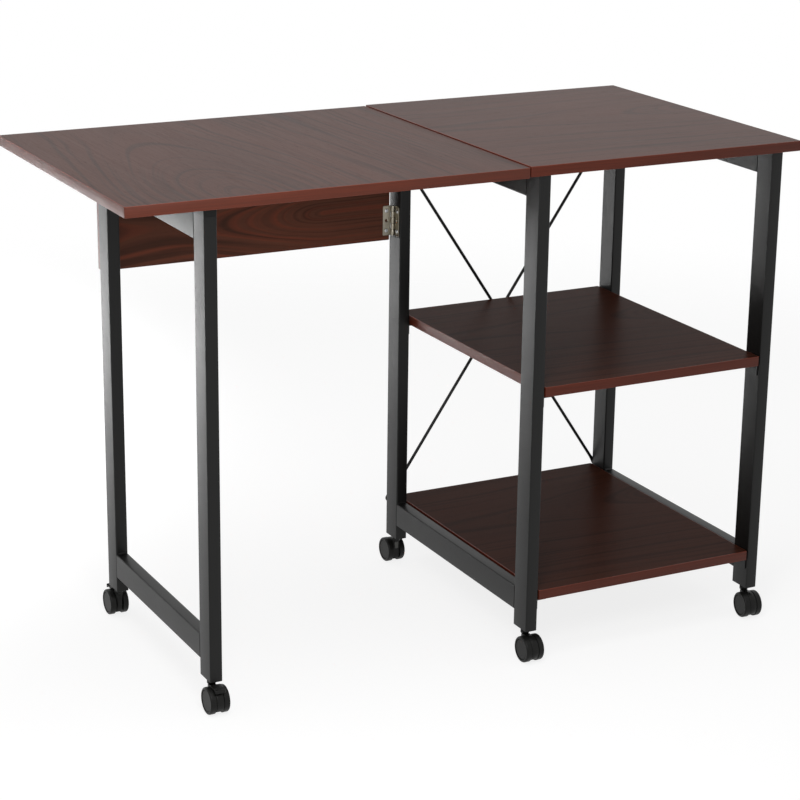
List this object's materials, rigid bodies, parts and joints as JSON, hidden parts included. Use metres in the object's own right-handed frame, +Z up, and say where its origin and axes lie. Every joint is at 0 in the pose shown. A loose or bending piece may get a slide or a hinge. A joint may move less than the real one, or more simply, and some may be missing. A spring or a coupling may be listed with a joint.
{
  "type": "mobile folding writing desk",
  "caption": "Writing desk on casters: open shelf unit with a fixed top, a hinged leaf and a swing gate that carries the leaf, crossed rods behind.",
  "frame": {"origin": "centre of the bounding box at floor level, under the wheels", "axes": "+X along the desk from the leaf's free end to the shelf unit, +Y from the front to the back, +Z up"},
  "size_m": [1.0636, 0.527, 0.758],
  "materials": {
    "walnut_laminate": "dark red-brown wood-grain laminate on particle board, low sheen",
    "black_coat": "satin black powder coat on steel tube",
    "black_plastic": "fine-textured black moulded plastic",
    "caster_wheel": "smooth black moulded plastic",
    "nickel_plate": "nickel-plated pressed steel",
    "zinc_steel": "bright zinc-plated steel"
  },
  "bodies": {
    "shelf_unit": {"top_board": "walnut_laminate", "mid_shelf": "walnut_laminate", "bottom_shelf": "walnut_laminate", "front_left_post": "black_coat", "back_left_post": "black_coat", "front_right_post": "black_coat", "back_right_post": "black_coat", "left_top_rail": "black_coat", "right_top_rail": "black_coat", "left_bottom_rail": "black_coat", "right_bottom_rail": "black_coat", "brace_rod_inner": "black_coat", "brace_rod_outer": "black_coat", "brace_spacers": "zinc_steel", "brace_screws": "zinc_steel", "shelf_tabs": "black_coat", "shelf_screws": "zinc_steel", "top_board_screws": "zinc_steel", "post_foot_plugs": "black_plastic", "caster_stems": "zinc_steel", "gate_hinge_post_plates": "nickel_plate", "leaf_hinge_top_plates": "nickel_plate", "frame_hinge_screws": "zinc_steel"},
    "gate": {"apron_board": "walnut_laminate", "gate_front_post": "black_coat", "gate_back_post": "black_coat", "gate_top_rail": "black_coat", "gate_bottom_rail": "black_coat", "gate_rest_caps": "black_plastic", "gate_foot_plugs": "black_plastic", "gate_caster_stems": "zinc_steel", "apron_screws": "zinc_steel", "gate_hinge_apron_plates": "nickel_plate", "gate_hinge_pins": "zinc_steel", "apron_hinge_screws": "zinc_steel"},
    "leaf": {"leaf_board": "walnut_laminate", "leaf_hinge_leaf_plates": "nickel_plate", "leaf_hinge_pins": "zinc_steel", "leaf_hinge_screws": "zinc_steel"},
    "front_left_caster": {"front_left_caster_housing": "black_plastic"},
    "front_left_wheels": {"front_left_caster_axle": "zinc_steel", "front_left_caster_wheels": "caster_wheel"},
    "front_right_caster": {"front_right_caster_housing": "black_plastic"},
    "front_right_wheels": {"front_right_caster_axle": "zinc_steel", "front_right_caster_wheels": "caster_wheel"},
    "back_left_caster": {"back_left_caster_housing": "black_plastic"},
    "back_left_wheels": {"back_left_caster_axle": "zinc_steel", "back_left_caster_wheels": "caster_wheel"},
    "back_right_caster": {"back_right_caster_housing": "black_plastic"},
    "back_right_wheels": {"back_right_caster_axle": "zinc_steel", "back_right_caster_wheels": "caster_wheel"},
    "gate_front_caster": {"gate_front_caster_housing": "black_plastic"},
    "gate_front_wheels": {"gate_front_caster_axle": "zinc_steel", "gate_front_caster_wheels": "caster_wheel"},
    "gate_front_brake_lever": {"gate_front_brake_lever": "black_plastic"},
    "gate_back_caster": {"gate_back_caster_housing": "black_plastic"},
    "gate_back_wheels": {"gate_back_caster_axle": "zinc_steel", "gate_back_caster_wheels": "caster_wheel"},
    "gate_back_brake_lever": {"gate_back_brake_lever": "black_plastic"}
  },
  "joints": [
    {"name": "gate_swing", "type": "hinge", "parent": "shelf_unit", "child": "gate", "pos_m": [0.08625, 0.19698, 0.6215], "axis": [0, 0, 1], "range_deg": [0, 90]},
    {"name": "leaf_lift", "type": "hinge", "parent": "shelf_unit", "child": "leaf", "pos_m": [0.069, -0.01552, 0.738], "axis": [0, 1, 0], "range_deg": [0, 3.5]},
    {"name": "front_left_swivel", "type": "hinge", "parent": "shelf_unit", "child": "front_left_caster", "pos_m": [0.09925, -0.22752, 0.044], "axis": [0, 0, 1], "continuous": true},
    {"name": "front_left_roll", "type": "hinge", "parent": "front_left_caster", "child": "front_left_wheels", "pos_m": [0.09925, -0.24252, 0.02], "axis": [1, 0, 0], "continuous": true},
    {"name": "front_right_swivel", "type": "hinge", "parent": "shelf_unit", "child": "front_right_caster", "pos_m": [0.49825, -0.22752, 0.044], "axis": [0, 0, 1], "continuous": true},
    {"name": "front_right_roll", "type": "hinge", "parent": "front_right_caster", "child": "front_right_wheels", "pos_m": [0.49694, -0.24246, 0.02], "axis": [0.9962, -0.0872, 0], "continuous": true},
    {"name": "back_left_swivel", "type": "hinge", "parent": "shelf_unit", "child": "back_left_caster", "pos_m": [0.09925, 0.19648, 0.044], "axis": [0, 0, 1], "continuous": true},
    {"name": "back_left_roll", "type": "hinge", "parent": "back_left_caster", "child": "back_left_wheels", "pos_m": [0.09925, 0.21148, 0.02], "axis": [-1, 0, 0], "continuous": true},
    {"name": "back_right_swivel", "type": "hinge", "parent": "shelf_unit", "child": "back_right_caster", "pos_m": [0.49825, 0.19648, 0.044], "axis": [0, 0, 1], "continuous": true},
    {"name": "back_right_roll", "type": "hinge", "parent": "back_right_caster", "child": "back_right_wheels", "pos_m": [0.49825, 0.21148, 0.02], "axis": [-1, 0, 0], "continuous": true},
    {"name": "gate_front_swivel", "type": "hinge", "parent": "gate", "child": "gate_front_caster", "pos_m": [-0.39375, -0.19052, 0.044], "axis": [0, 0, 1], "continuous": true},
    {"name": "gate_front_roll", "type": "hinge", "parent": "gate_front_caster", "child": "gate_front_wheels", "pos_m": [-0.39375, -0.20552, 0.02], "axis": [1, 0, 0], "continuous": true},
    {"name": "gate_front_brake", "type": "hinge", "parent": "gate_front_caster", "child": "gate_front_brake_lever", "pos_m": [-0.39375, -0.21005, 0.0369], "axis": [1, 0, 0], "range_deg": [0, 12]},
    {"name": "gate_back_swivel", "type": "hinge", "parent": "gate", "child": "gate_back_caster", "pos_m": [-0.39375, 0.18148, 0.044], "axis": [0, 0, 1], "continuous": true},
    {"name": "gate_back_roll", "type": "hinge", "parent": "gate_back_caster", "child": "gate_back_wheels", "pos_m": [-0.39375, 0.19648, 0.02], "axis": [-1, 0, 0], "continuous": true},
    {"name": "gate_back_brake", "type": "hinge", "parent": "gate_back_caster", "child": "gate_back_brake_lever", "pos_m": [-0.39375, 0.20101, 0.0369], "axis": [-1, 0, 0], "range_deg": [0, 12]}
  ]
}
